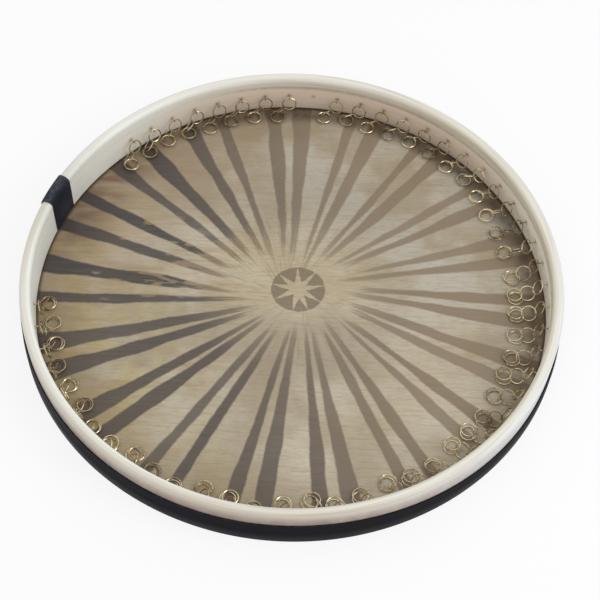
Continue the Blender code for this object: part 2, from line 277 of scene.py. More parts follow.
def wood_finish():
    """Return pale wood with its grain round the hoop, the marks that hands and dust leave, and painted
    light and shade on its sides, edges and corners.
    """
    finish, tree, shader = new_finish("pale wood")
    place = add(tree, "TexCoord").outputs["Object"]
    seam_turn = math.pi - GRIP_ANGLE
    seam_at_grip = {"Vector": place, "Rotation": (0.0, 0.0, seam_turn)}
    polar = polar_of(tree, add(tree, "Mapping", seam_at_grip).outputs[0])
    radius, height = polar["Radius"], polar["Height"]
    angle = calc(tree, "SUBTRACT", polar["Angle"], seam_turn)
    broad = noise(tree, strand(tree, polar, 2.6, 95.0), 1.0, 3.0)
    fine = noise(tree, strand(tree, polar, 9.0, 480.0), 1.0, 4.0)
    tone = blend(tree, rise(tree, broad, 0.42, 0.70), colour(*WOOD_PALE), colour(*WOOD_GRAIN))
    tone = tint(tree, tone, rise(tree, noise(tree, place, 8.0), 0.42, 0.75), 0.40, WOOD_CLOUD)

    inside = calc(tree, "LESS_THAN", radius, hoop_inner + 0.3 * HOOP_WALL)
    outside = rise(tree, radius, HOOP_RADIUS - CROWN_OUTER, HOOP_RADIUS - 0.1 * CROWN_OUTER)
    below_line = inverse(tree, rise(tree, height, bead_foot - 0.001, bead_foot + 0.0005))
    right_side = side(tree, angle, 0.0, 0.0, 1.0)
    left_side = side(tree, angle, math.pi, -0.1, 0.7)
    front_side = side(tree, angle, -QUARTER_TURN, 0.1, 0.8)
    # Painted light: the inside wall on the right side is made paler, and paler still below the scribed
    # line.
    right_inside = times(tree, right_side, inside)
    tone = tint(tree, tone, right_inside, 0.70, WOOD_LIT_RIGHT_WALL)
    tone = tint(tree, tone, times(tree, right_inside, below_line), 0.75, WOOD_LIT_RIGHT_LOWER_WALL)
    # Painted light: the left side is made paler, most of all on the inside wall.
    tone = tint(tree, tone, left_side, graded(tree, inside, 0.25, 0.90), WOOD_LIT_LEFT)
    tanned = times(tree, graded(tree, below_line, 0.20, 0.85), side(tree, angle, TANNED_AT, 0.35, 1.0))
    tone = tint(tree, tone, tanned, inside, WOOD_TANNED)
    # Painted light: a cool tint on the outer edge of the hoop on the right side.
    tone = tint(tree, tone, times(tree, right_side, outside), 0.80, WOOD_COOL_LIGHT)
    # Darker along the outer edge of the crown at the front, less towards the right side.
    rubbed = rise(tree, radius, HOOP_RADIUS - 1.5 * CROWN_OUTER, HOOP_RADIUS - 0.6 * CROWN_OUTER)
    rubbed = times(tree, rubbed, front_side, inverse(tree, right_side))
    tone = tint(tree, tone, rubbed, 0.62, WOOD_FRONT_EDGE_DARKER)
    # Painted shade with mottled grime: the outer face darkens towards the band, much less on the lit right
    # side.
    shade_and_grime = inverse(tree, rise(tree, height, band_high.z + 0.003, hoop_top))
    shade_and_grime = times(tree, shade_and_grime, graded(tree, right_side, 0.92, 0.17), outside)
    tone = tint(tree, tone, shade_and_grime, graded(tree, noise(tree, place, 60.0, 3.0), 0.35, 1.75), WOOD_SHADE_AND_GRIME)
    tone = tint(tree, tone, rise(tree, fine, 0.46, 0.70), graded(tree, left_side, 0.34, 0.12), WOOD_PORES)

    # Dirt and painted shade: darker at the foot of the wall by the skin and along the scribed line. The
    # stains round the hooks and the marks by the grip are dirt.
    low = inverse(tree, rise(tree, height, 0.0010, 0.0042))
    from_line = calc(tree, "ABSOLUTE", calc(tree, "SUBTRACT", height, bead_foot - 0.0004))
    line = times(tree, inverse(tree, rise(tree, from_line, 0.0002, 0.0018)), inside)
    line = times(tree, line, graded(tree, side(tree, angle, FAINT_AT, 0.3, 0.9), 1.0, 0.2))
    from_opposite = calc(tree, "ABSOLUTE", polar["Angle"])
    handled = rise(tree, from_opposite, math.pi - HANDLED_HALF, math.pi - WRAPPED_HALF)
    clear_of_grip = calc(tree, "LESS_THAN", from_opposite, math.pi - HANDLED_HALF)
    hooked = times(tree, hook_stain(tree, angle, height), inside, clear_of_grip)
    dirt_and_shade = calc(tree, "MAXIMUM", times(tree, low, 0.18), times(tree, line, 0.48))
    dirt_and_shade = calc(tree, "MAXIMUM", dirt_and_shade, times(tree, hooked, 0.45))
    dirt_and_shade = calc(tree, "MAXIMUM", dirt_and_shade, times(tree, handled, 0.16))
    ragged = calc(tree, "ADD", noise(tree, place, 160.0), 0.5)
    tone = tint(tree, tone, dirt_and_shade, ragged, WOOD_DIRT_AND_SHADE)

    tree.links.new(tone, shader.inputs["Base Color"])
    tree.links.new(graded(tree, fine, 0.42, 0.62), shader.inputs["Roughness"])
    shader.inputs["Specular IOR Level"].default_value = 0.30
    relief(tree, shader, fine, strength=0.12, distance=0.0004)
    return finish


round_the_drum = make_polar()
outer_arc = (HOOP_RADIUS - CROWN_OUTER, hoop_top - CROWN_OUTER)
inner_arc = (hoop_inner + CROWN_INNER, hoop_top - CROWN_INNER)
bead_shares = [step / BEAD_STEPS for step in range(1, BEAD_STEPS + 1)]
bead_rise = BEAD_DROP - CROWN_INNER
hoop_section = [
    *arc((HOOP_RADIUS - FOOT_ROUND, hoop_foot + FOOT_ROUND), FOOT_ROUND, -90.0, 0.0, 4),
    *arc(outer_arc, CROWN_OUTER, 0.0, 90.0, 8),
    *arc(inner_arc, CROWN_INNER, 90.0, 180.0, 10),
    *[(hoop_inner + BEAD_DEPTH * share ** 2, inner_arc[1] - bead_rise * share) for share in bead_shares],
    (hoop_inner + 0.15 * BEAD_DEPTH, bead_foot - 0.55 * QUIRK_WIDTH),
    (hoop_inner, bead_foot - QUIRK_WIDTH),
    *arc((hoop_inner + FOOT_ROUND, hoop_foot + FOOT_ROUND), FOOT_ROUND, 180.0, 270.0, 4),
]
hoop = turned(hoop_section)
for vert in hoop.verts:
    if bead_foot - QUIRK_WIDTH < vert.co.z < inner_arc[1]:
        depth_share = 1.0 - hoop_inner / vert.co.xy.length
        faint = math.cos(math.atan2(vert.co.y, vert.co.x) - FAINT_AT)
        faint = min(max((faint - FAINT_FROM) / (FAINT_FULL - FAINT_FROM), 0.0), 1.0)
        vert.co.xy *= 1.0 - FAINT_SHARE * faint * depth_share
pale_wood = wood_finish()
dress("wood_hoop", hoop, pale_wood, "drum", "hoop_wood", "hoop")

# The hooks
# Short brass pins in one row round the inside of the hoop, each bent up at its free end.
# They are driven into the wall, and each holds the first ring of one chain.
HOOK_BURIED = 0.0030
HOOK_BEND = 0.0011
HOOK_LIP = 0.0016
HOOK_SIDES = 6
HOOK_CLEAN = (210, 194, 164)
HOOK_DULL = (150, 132, 104)

seat_radius = seats[0].xy.length
seat_frames = [
    Matrix.Translation(seat) @ Matrix.Rotation(angle + math.pi, 4, "Z")
    for seat, angle in zip(seats, hook_angles)
]


def drawn_out(bm, face, move):
    """Extrude a face by a move, and return the face at its end."""
    made = bmesh.ops.extrude_face_region(bm, geom=[face])["geom"]
    bmesh.ops.translate(bm, vec=move, verts=[v for v in made if isinstance(v, bmesh.types.BMVert)])
    return next(item for item in made if isinstance(item, bmesh.types.BMFace))


def pin_mesh():
    """Return the mesh of one hook: a pin out of the wall, its bend and its upturned end."""
    bm = bmesh.new()
    level = pin_level - seat_level
    inside = hoop_inner - seat_radius + HOOK_BURIED
    start = Matrix.Translation((-inside, 0.0, level))
    bmesh.ops.create_circle(
        bm, cap_ends=True, segments=HOOK_SIDES, radius=WIRE_RADIUS,
        matrix=start @ Matrix.Rotation(QUARTER_TURN, 4, "Y"),
    )
    end = drawn_out(bm, bm.faces[:][0], (inside + WIRE_RADIUS, 0.0, 0.0))
    bent = bmesh.ops.spin(
        bm, geom=[end, *end.edges, *end.verts], cent=(WIRE_RADIUS, 0.0, level + HOOK_BEND),
        axis=(0.0, -1.0, 0.0), angle=QUARTER_TURN, steps=4,
    )["geom_last"]
    end = next(item for item in bent if isinstance(item, bmesh.types.BMFace))
    drawn_out(bm, end, (0.0, 0.0, HOOK_LIP - level - HOOK_BEND))
    bmesh.ops.recalc_face_normals(bm, faces=bm.faces)
    mesh = bpy.data.meshes.new("hook")
    bm.to_mesh(mesh)
    bm.free()
    return mesh


def gathered(shapes):
    """Return a bmesh of meshes, each set in its placement."""
    bm = bmesh.new()
    for mesh, placement in shapes:
        before = len(bm.verts)
        bm.from_mesh(mesh)
        bm.verts.ensure_lookup_table()
        bmesh.ops.transform(bm, matrix=placement, verts=bm.verts[before:])
    return bm


def make_tarnish():
    """Make the group that gives how tarnished a point of the metal is, and its fine scratches."""
    group, start, end = new_group("tarnish", [("Point", "Vector")], ["Tarnish", "Scratches"])
    spots = noise(group, start.outputs["Point"], 420.0, 3.0)
    whole = noise(group, start.outputs["Point"], 28.0, 1.0)
    mixed = calc(group, "MULTIPLY_ADD", spots, 0.45, times(group, whole, 0.55))
    group.links.new(rise(group, mixed, 0.40, 0.64), end.inputs["Tarnish"])
    group.links.new(noise(group, start.outputs["Point"], 2600.0, 2.0), end.inputs["Scratches"])
    return group


def metal_finish(name, clean, dull, smooth, rough):
    """Return a metal that goes from clean and smooth to dull and rough where it is tarnished."""
    finish, tree, shader = new_finish(name)
    place = add(tree, "TexCoord").outputs["Object"]
    worn = add(tree, "Group", {"Point": place}, node_tree=tarnish).outputs
    tone = blend(tree, worn["Tarnish"], colour(*clean), colour(*dull))
    tree.links.new(tone, shader.inputs["Base Color"])
    tree.links.new(graded(tree, worn["Tarnish"], smooth, rough), shader.inputs["Roughness"])
    shader.inputs["Metallic"].default_value = 1.0
    relief(tree, shader, worn["Scratches"], strength=0.10, distance=0.0001)
    return finish


tarnish = make_tarnish()
hook_wire = metal_finish("hook wire", HOOK_CLEAN, HOOK_DULL, smooth=0.40, rough=0.60)
pin = pin_mesh()
row = gathered([(pin, seat_frame) for seat_frame in seat_frames])
dress("hook_row", row, hook_wire, "drum", "ring_brass", "hoop")

# The skin
# A goatskin head, glued wet over the foot of the hoop and lapped up its outside, then dried tight.
# Dark rays in pairs and a rosette are stained into it, and their inner ends have worn away.
SKIN_THICKNESS = 0.0007
SKIN_GAP = 0.0003
SKIN_LAP = 0.014
SKIN_RINGS = 6
SCRAPE_TURN = math.radians(6.0)
COOL_AT = math.radians(52.0)
DULL_AT = math.radians(80.0)
OLIVE_AT = math.radians(-160.0)
BROWN_AT = math.radians(138.0)
PALE_AT = math.radians(-80.0)
TAN_AT = math.radians(-38.0)
SMOKE_AT = math.radians(-85.0)
SHADED_AT = math.radians(50.0)
DUST_AND_SHADE_AT = math.radians(228.0)
CLEAN_AT = math.radians(-22.0)
FINGERED_AND_SHADED_AT = GRIP_ANGLE - 0.12
SKIN_DARK = (162, 149, 126)
SKIN_LIGHT = (187, 176, 155)
SKIN_PATCHES = (194, 186, 168)
SKIN_COOL = (182, 179, 170)
SKIN_DULL = (140, 128, 108)
SKIN_OLIVE = (178, 164, 119)
SKIN_SMEARED = (152, 127, 86)
SKIN_BROWN = (146, 122, 98)
SKIN_PALE = (202, 194, 175)
SKIN_TAN = (170, 151, 118)
SKIN_WARM = (197, 182, 151)
SKIN_STREAKS = (142, 124, 96)
SKIN_HAIR = (138, 121, 96)
SKIN_SMOKE = (122, 110, 95)
SKIN_DUST_AND_SHADE = (126, 103, 68)
SKIN_FINGERED_AND_SHADE = (114, 88, 68)
SKIN_SHADE = (64, 48, 34)
SKIN_CORNER_DIRT_AND_SHADE = (60, 45, 30)
RAY_PAIRS = 18
RAY_PITCH = FULL_TURN / RAY_PAIRS
RAY_FIRST = math.radians(-3.6)
RAY_APART = math.radians(3.5)
RAY_HALF = math.radians(1.95)
RAY_LEAN = math.radians(3.6)
RAY_LEAN_AT = math.radians(156.0)
RAY_WANDER = 0.030
RAY_SKEW = 0.0048
RAY_SKEW_SIDE = 0.0080
RAY_SKEW_AT = math.radians(160.0)
RAY_TORN_AT = math.radians(155.0)
RAY_LONG_AT = math.radians(100.0)
RAY_WORN_AT = math.radians(168.0)
RAY_SHEEN_AT = math.radians(22.0)
RAY_NEAR_AT = math.radians(-105.0)
RAY_DEEP = (62, 57, 59)
RAY_SHEENED = (132, 116, 95)
RAY_THREADS = (116, 93, 62)
ROSETTE_AT = (0.0057, 0.0079)
ROSETTE_RADIUS = 0.0263
ROSETTE_GROUND = (98, 86, 70)
STAR_POINTS = 9
STAR_FIRST = math.radians(94.0)
STAR_HALF = 0.0048
STAR_STRAY = 0.34


def brushed(tree, place, along, across, detail):
    """Return noise drawn out in streaks across the skin."""
    drawn = {"Vector": place, "Rotation": (0.0, 0.0, SCRAPE_TURN), "Scale": (along, across, 1.0)}
    return noise(tree, add(tree, "Mapping", drawn).outputs[0], 1.0, detail)


def ripple(tree, place, scale, detail):
    """Return a noise value about 0."""
    return calc(tree, "SUBTRACT", noise(tree, place, scale, detail), 0.5)


def reach(tree, polar, direction):
    """Return how far a point lies from the middle in a direction."""
    return times(tree, toward(tree, polar["Angle"], direction), polar["Radius"])


def annulus(tree, radius, opens, closes):
    """Return a mask of a ring about the middle, between two pairs of limits."""
    return calc(tree, "SUBTRACT", rise(tree, radius, *opens), rise(tree, radius, *closes))


def numbered(tree, turns, count):
    """Return the number of the nearest of so many like things about the middle."""
    nearest = calc(tree, "FLOOR", calc(tree, "ADD", turns, 0.5))
    return calc(tree, "WRAP", nearest, count, 0.0)


def drawn_lot(tree, number):
    """Return the outputs of a noise that differs from number to number."""
    return add(tree, "TexWhiteNoise", {"W": number}, noise_dimensions="1D").outputs


def bare_skin(tree, place, polar, scrape):
    """Return the colour of the skin before it was stained."""
    angle, radius = polar["Angle"], polar["Radius"]
    mottle = rise(tree, noise(tree, place, 10.0, 4.0), 0.36, 0.66)
    tone = blend(tree, mottle, colour(*SKIN_DARK), colour(*SKIN_LIGHT))
    tone = tint(tree, tone, rise(tree, noise(tree, place, 24.0, 4.0), 0.48, 0.68), 0.55, SKIN_PATCHES)
    cool = rise(tree, reach(tree, polar, COOL_AT), -0.02, 0.16)
    cool = times(tree, cool, rise(tree, mottle, 0.0, 0.8))
    tone = tint(tree, tone, cool, 0.70, SKIN_COOL)
    dulled = annulus(tree, radius, (0.070, 0.100), (0.140, 0.170))
    dulled = times(tree, dulled, side(tree, angle, DULL_AT, 0.4, 0.9))
    tone = tint(tree, tone, dulled, 0.30, SKIN_DULL)
    olive = rise(tree, reach(tree, polar, OLIVE_AT), 0.08, 0.22)
    olive = times(tree, olive, rise(tree, noise(tree, place, 17.0, 4.0), 0.40, 0.60))
    tone = tint(tree, tone, olive, 0.80, SKIN_OLIVE)
    smeared = rise(tree, brushed(tree, place, 13.0, 75.0, 4.0), 0.50, 0.68)
    smeared = times(tree, smeared, side(tree, angle, math.pi, -0.3, 0.9))
    tone = tint(tree, tone, smeared, 0.42, SKIN_SMEARED)
    tone = tint(tree, tone, rise(tree, reach(tree, polar, BROWN_AT), 0.08, 0.24), 0.50, SKIN_BROWN)
    pale = rise(tree, reach(tree, polar, PALE_AT), 0.08, 0.18)
    pale = times(tree, pale, rise(tree, mottle, -0.6, 1.0))
    tone = tint(tree, tone, pale, 0.55, SKIN_PALE)
    tanned = rise(tree, reach(tree, polar, TAN_AT), 0.09, 0.16)
    tanned = calc(tree, "SUBTRACT", tanned, rise(tree, radius, 0.165, 0.205))
    tone = tint(tree, tone, tanned, 0.26, SKIN_TAN)
    tone = tint(tree, tone, inverse(tree, rise(tree, radius, 0.03, 0.12)), 0.50, SKIN_WARM)
    tone = tint(tree, tone, rise(tree, scrape, 0.46, 0.70), 0.28, SKIN_STREAKS)
    hair = rise(tree, brushed(tree, place, 110.0, 760.0, 2.0), 0.46, 0.74)
    tone = tint(tree, tone, hair, 0.34, SKIN_HAIR)
    smoke = annulus(tree, radius, (0.012, 0.055), (0.085, 0.125))
    smoke = times(tree, smoke, side(tree, angle, SMOKE_AT, 0.2, 0.95))
    return tint(tree, tone, smoke, 0.38, SKIN_SMOKE)


def straightened(tree, place, polar):
    """Return the angle about the rosette, less the skew, the lean and the wander of the rays."""
    angle = polar["Angle"]
    skewed_side = side(tree, angle, RAY_SKEW_AT, 0.2, 0.9)
    skew = calc(tree, "MULTIPLY_ADD", skewed_side, RAY_SKEW_SIDE, RAY_SKEW)
    straight = calc(tree, "SUBTRACT", angle, calc(tree, "DIVIDE", skew, polar["Radius"]))
    lean = calc(tree, "SINE", calc(tree, "SUBTRACT", angle, RAY_LEAN_AT))
    straight = calc(tree, "MULTIPLY_ADD", lean, -RAY_LEAN, straight)
    return calc(tree, "MULTIPLY_ADD", ripple(tree, place, 9.0, 1.0), RAY_WANDER, straight)


def streaked(tree, along, lengthwise, across, crosswise, detail):
    """Return noise over two values, each with its own scale."""
    point = {0: times(tree, along, lengthwise), 1: times(tree, across, crosswise)}
    return noise(tree, add(tree, "CombineXYZ", point).outputs[0], 1.0, detail)


def ray_stain(tree, place, polar, coarse):
    """Return how strongly the rays stain the skin, and the torn streaks at their inner ends."""
    angle, radius = polar["Angle"], polar["Radius"]
    torn_side = side(tree, angle, RAY_TORN_AT, 0.55, 0.97)
    straight = straightened(tree, place, polar)
    turns = calc(tree, "DIVIDE", calc(tree, "SUBTRACT", straight, RAY_FIRST), RAY_PITCH)
    within = off_nearest(tree, turns)
    pair = numbered(tree, turns, RAY_PAIRS)
    ray = calc(tree, "MULTIPLY_ADD", calc(tree, "SIGN", within), 0.25, pair)
    lots = add(tree, "SeparateColor", {0: drawn_lot(tree, ray)["Color"]}).outputs
    apart = graded(tree, torn_side, RAY_APART, 1.25 * RAY_APART)
    off_ray = times(tree, calc(tree, "ABSOLUTE", within), RAY_PITCH)
    off_ray = calc(tree, "ABSOLUTE", calc(tree, "SUBTRACT", off_ray, apart))
    swell = graded(tree, streaked(tree, ray, 3.7, radius, 13.0, 1.0), 0.4, 1.6)
    half = times(tree, graded(tree, lots["Red"], 0.80 * RAY_HALF, 1.20 * RAY_HALF), swell)
    depth = times(tree, half, calc(tree, "MULTIPLY_ADD", radius, 0.9, 0.02))
    depth = calc(tree, "SUBTRACT", depth, times(tree, off_ray, radius))
    depth = calc(tree, "MULTIPLY_ADD", ripple(tree, place, 40.0, 2.0), 0.0030, depth)
    depth = calc(tree, "MULTIPLY_ADD", coarse, 0.0012, depth)
    whole_ray = rise(tree, depth, -0.0011, 0.0013)

    tear = streaked(tree, straight, 58.0, radius, 20.0, 3.0)
    end = graded(tree, lots["Green"], 0.044, 0.062)
    end = calc(tree, "MULTIPLY_ADD", torn_side, 0.042, end)
    end = calc(tree, "MULTIPLY_ADD", side(tree, angle, RAY_LONG_AT, 0.45, 1.0), -0.018, end)
    past_end = calc(tree, "DIVIDE", calc(tree, "SUBTRACT", radius, end), 0.080)
    past_tear = calc(tree, "ADD", tear, past_end)
    rubbed = calc(tree, "MULTIPLY_ADD", radius, -1.3, brushed(tree, place, 34.0, 120.0, 3.0))
    worn = times(tree, rise(tree, rubbed, 0.34, 0.44), side(tree, angle, RAY_WORN_AT, 0.90, 0.99))
    kept = times(tree, rise(tree, past_tear, 0.42, 0.66), graded(tree, worn, 1.0, 0.2))
    strength = graded(tree, lots["Blue"], 0.82, 0.94)
    faded = graded(tree, rise(tree, radius, 0.035, 0.115), 0.58, 1.0)
    stained = times(tree, whole_ray, kept, times(tree, strength, faded))

    fringe = times(tree, inverse(tree, kept), torn_side, rise(tree, past_tear, 0.12, 0.42), whole_ray)
    near = inverse(tree, rise(tree, radius, 0.055, 0.115))
    threads = times(tree, rise(tree, tear, 0.54, 0.68), near, graded(tree, torn_side, 0.35, 0.80))
    return stained, calc(tree, "MAXIMUM", threads, times(tree, fringe, 0.75))


def rosette_stain(tree, polar, coarse):
    """Return how strongly the rosette's ground stains the skin round its star."""
    radius = polar["Radius"]
    from_first = calc(tree, "SUBTRACT", polar["Angle"], STAR_FIRST)
    turns = times(tree, from_first, STAR_POINTS / FULL_TURN)
    chance = drawn_lot(tree, numbered(tree, turns, STAR_POINTS))["Value"]
    stray = calc(tree, "SUBTRACT", chance, 0.5)
    within = calc(tree, "MULTIPLY_ADD", stray, STAR_STRAY, off_nearest(tree, turns))
    off_point = calc(tree, "ABSOLUTE", times(tree, within, FULL_TURN / STAR_POINTS))
    off_point = times(tree, calc(tree, "SINE", off_point), radius)
    half = calc(tree, "MULTIPLY_ADD", radius, -STAR_HALF / ROSETTE_RADIUS, STAR_HALF)
    star = calc(tree, "MULTIPLY_ADD", coarse, 0.0022, calc(tree, "SUBTRACT", half, off_point))
    ground = inverse(tree, rise(tree, star, -0.0007, 0.0007))
    rim = calc(tree, "MULTIPLY_ADD", coarse, 0.0030, radius)
    disc = inverse(tree, rise(tree, rim, ROSETTE_RADIUS, ROSETTE_RADIUS + 0.0014))
    return times(tree, ground, disc)


def skin_finish():
    """Return the stained goatskin, with painted shade near the wall and a painted sheen on the rays."""
    finish, tree, shader = new_finish("goatskin")
    place = add(tree, "TexCoord").outputs["Object"]
    centred = {"Vector": place, "Location": (-ROSETTE_AT[0], -ROSETTE_AT[1], 0.0)}
    polar = polar_of(tree, add(tree, "Mapping", centred).outputs[0])
    angle = polar["Angle"]
    from_axis = polar_of(tree, place)["Radius"]
    scrape = brushed(tree, place, 22.0, 360.0, 4.0)
    coarse = ripple(tree, place, 190.0, 2.0)
    tone = bare_skin(tree, place, polar, scrape)
    # Dust and painted shade: a darker brown ring on the skin near the wall, strongest towards the front
    # left and weakest on the right.
    dust_and_shade = graded(tree, side(tree, angle, DUST_AND_SHADE_AT, 0.35, 0.95), 0.12, 0.42)
    dust_and_shade = calc(tree, "MULTIPLY_ADD", side(tree, angle, CLEAN_AT, 0.4, 1.0), -0.11, dust_and_shade)
    tone = tint(tree, tone, dust_and_shade, rise(tree, from_axis, 0.180, 0.228), SKIN_DUST_AND_SHADE)
    # Finger grime and painted shade: the skin darkens near the wall beside the grip, where the wrap shades
    # it.
    fingered_and_shaded = times(tree, side(tree, angle, FINGERED_AND_SHADED_AT, 0.90, 1.0), rise(tree, from_axis, 0.195, 0.235))
    fingered_and_shaded = times(tree, fingered_and_shaded, rise(tree, brushed(tree, place, 20.0, 60.0, 3.0), 0.36, 0.60))
    tone = tint(tree, tone, fingered_and_shaded, 0.75, SKIN_FINGERED_AND_SHADE)

    stained, threads = ray_stain(tree, place, polar, coarse)
    # Painted sheen: the rays turn paler towards the right side, and also paler towards the front.
    sheen_paleness = rise(tree, reach(tree, polar, RAY_SHEEN_AT), -0.125, 0.125)
    sheen_paleness = calc(tree, "MULTIPLY_ADD", side(tree, angle, RAY_NEAR_AT, 0.3, 1.0), 0.19, sheen_paleness)
    stain = blend(tree, sheen_paleness, colour(*RAY_DEEP), colour(*RAY_SHEENED))
    seen_through = graded(tree, scrape, 1.12, 0.82)
    tone = blend(tree, times(tree, stained, seen_through), tone, stain)
    tone = blend(tree, threads, tone, colour(*RAY_THREADS))
    tone = tint(tree, tone, rosette_stain(tree, polar, coarse), 0.68, ROSETTE_GROUND)

    shaded = rise(tree, from_axis, hoop_inner - 0.026, hoop_inner - 0.009)
    shaded = times(tree, shaded, graded(tree, side(tree, angle, SHADED_AT, -0.3, 0.6), 0.06, 0.63))
    blotched = graded(tree, noise(tree, place, 90.0, 3.0), 0.25, 1.75)
    tone = tint(tree, tone, shaded, blotched, SKIN_SHADE)
    # Glue dirt and painted shade in the corner where the skin meets the wall.
    corner_dirt_and_shade = rise(tree, from_axis, hoop_inner - 0.0042, hoop_inner - 0.0002)
    tone = tint(tree, tone, corner_dirt_and_shade, 0.78, SKIN_CORNER_DIRT_AND_SHADE)

    tree.links.new(tone, shader.inputs["Base Color"])
    tree.links.new(graded(tree, scrape, 0.44, 0.68), shader.inputs["Roughness"])
    shader.inputs["Specular IOR Level"].default_value = 0.30
    pebbled = calc(tree, "ADD", noise(tree, place, 900.0, 2.0), times(tree, scrape, 1.4))
    relief(tree, shader, pebbled, strength=0.22, distance=0.0004)
    return finish


skin_turn = (HOOP_RADIUS - FOOT_ROUND, hoop_foot + FOOT_ROUND)
skin_inside = FOOT_ROUND + SKIN_GAP
skin_steps = [skin_turn[0] * step / SKIN_RINGS for step in range(SKIN_RINGS)]
skin_section = [
    *[(radius, 0.0) for radius in skin_steps],
    *arc(skin_turn, skin_inside + SKIN_THICKNESS, -90.0, 0.0, 6),
    (HOOP_RADIUS + SKIN_GAP + SKIN_THICKNESS, SKIN_LAP),
    (HOOP_RADIUS + SKIN_GAP, SKIN_LAP),
    *arc(skin_turn, skin_inside, 0.0, -90.0, 6),
    *[(radius, SKIN_THICKNESS) for radius in reversed(skin_steps)],
]
goatskin = skin_finish()
dress("drum_skin", turned(skin_section, closed=False), goatskin, "drum", "goatskin", "skin_head")

# The edge band
# A black leather strip glued round the outside of the hoop, over the turned-up edge of the skin.
# Its ends meet under the grip. Its upper edge is rubbed a little grey, and sags on the right.
BAND_THICKNESS = 0.0010
BAND_TAPER = 0.0030
BAND_SEAM = 0.0006
BAND_SAG = 0.0102
BAND_SAG_AT = math.radians(-28.0)
BAND_SAG_HALF = math.radians(56.0)
EDGE_ROUND = 0.0003
EDGE_ANGLE = math.radians(50.0)
BAND_DEEP = (8, 8, 15)
BAND_PALE = (17, 16, 26)
BAND_RUBBED = (59, 57, 63)


def softened(bm, width):
    """Round the sharp edges of a bmesh."""
    sharp = [edge for edge in bm.edges if edge.calc_face_angle(0.0) > EDGE_ANGLE]
    bmesh.ops.bevel(
        bm, geom=sharp, offset=width, affect="EDGES", segments=2, profile=0.5, material=-1,
    )
    bmesh.ops.recalc_face_normals(bm, faces=bm.faces)
    return bm


def make_leather_grain():
    """Make the group that gives the pebbles and creases of leather."""
    group, start, end = new_group("leather grain", [("Point", "Vector")], ["Height", "Shade"])
    point = start.outputs["Point"]
    cells = add(group, "TexVoronoi", {"Vector": point, "Scale": 1150.0}, feature="SMOOTH_F1")
    creases = noise(group, point, 210.0, 4.0)
    height = calc(group, "MULTIPLY_ADD", cells.outputs["Distance"], -0.7, creases)
    group.links.new(height, end.inputs["Height"])
    group.links.new(noise(group, point, 34.0, 3.0), end.inputs["Shade"])
    return group


def leather_finish(name, deep, pale, rubbed, rubbed_at):
    """Return dyed leather that is rubbed paler between two heights."""
    finish, tree, shader = new_finish(name)
    place = add(tree, "TexCoord").outputs["Object"]
    grain = add(tree, "Group", {"Point": place}, node_tree=leather_grain).outputs
    height = add(tree, "SeparateXYZ", {0: place}).outputs["Z"]
    tone = blend(tree, rise(tree, grain["Shade"], 0.35, 0.70), colour(*deep), colour(*pale))
    wear = times(tree, rise(tree, height, *rubbed_at), rise(tree, grain["Height"], -0.05, 0.45))
    tone = tint(tree, tone, wear, 0.55, rubbed)
    tree.links.new(tone, shader.inputs["Base Color"])
    tree.links.new(graded(tree, grain["Shade"], 0.42, 0.64), shader.inputs["Roughness"])
    shader.inputs["Specular IOR Level"].default_value = 0.08
    relief(tree, shader, grain["Height"], strength=0.30, distance=0.0004)
    return finish


leather_grain = make_leather_grain()
band_rubbed_at = (band_high.z - 0.0016, band_high.z - 0.0002)
band_leather = leather_finish("band leather", BAND_DEEP, BAND_PALE, BAND_RUBBED, band_rubbed_at)
band_outside = HOOP_RADIUS + 2.0 * SKIN_GAP + SKIN_THICKNESS
band_wood = HOOP_RADIUS + SKIN_GAP
band_step = SKIN_LAP + SKIN_GAP
band_inside = [
    (band_outside, band_low.z), (band_outside, band_step),
    (band_wood, band_step + BAND_TAPER), (band_wood, band_high.z),
]
band_section = band_inside + [(radius + BAND_THICKNESS, z) for radius, z in reversed(band_inside)]
seam = BAND_SEAM / HOOP_RADIUS
band = turned(band_section, start=GRIP_ANGLE + seam / 2.0, sweep=FULL_TURN - seam)
for vert in band.verts:
    off_sag = abs(math.atan2(vert.co.y, vert.co.x) - BAND_SAG_AT) / BAND_SAG_HALF
    if vert.co.z > band_step + 1.5 * BAND_TAPER and off_sag < 1.0:
        vert.co.z -= BAND_SAG * math.cos(off_sag * QUARTER_TURN) ** 2
dress("leather_band", softened(band, EDGE_ROUND), band_leather, "drum", "band_leather", "edge_band")

# The grip wrap
# A piece of dark blue-black leather folded over the rim where the hand holds the drum.
# It is glued down the inside almost to the skin, and down the outside to the top of the band.
WRAP_WIDTH = 0.037
WRAP_THICKNESS = 0.0012
WRAP_STEPS = 18
WRAP_DEEP = (31, 33, 41)
WRAP_PALE = (49, 52, 62)
WRAP_RUBBED = (98, 101, 110)

wrap_low, wrap_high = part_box("grip_wrap")


def over_the_rim(offset):
    """Return the path of the wrap up the outside, over the crown and down the inside."""
    return [
        (HOOP_RADIUS + offset, band_high.z + SKIN_GAP),
        *arc(outer_arc, CROWN_OUTER + offset, 0.0, 90.0, 8),
        *arc(inner_arc, CROWN_INNER + offset, 90.0, 180.0, 8),
        (hoop_inner - offset, wrap_low.z),
    ]


wrap_rubbed_at = (wrap_high.z - 0.0022, wrap_high.z + 0.0006)
wrap_leather = leather_finish("wrap leather", WRAP_DEEP, WRAP_PALE, WRAP_RUBBED, wrap_rubbed_at)
wrap_section = over_the_rim(SKIN_GAP + WRAP_THICKNESS) + over_the_rim(SKIN_GAP)[::-1]
wrap_half = WRAP_WIDTH / HOOP_RADIUS / 2.0
wrap = turned(wrap_section, start=GRIP_ANGLE - wrap_half, sweep=2.0 * wrap_half, steps=WRAP_STEPS)
dress("grip_leather", softened(wrap, EDGE_ROUND), wrap_leather, "drum", "wrap_leather", "grip_wrap")

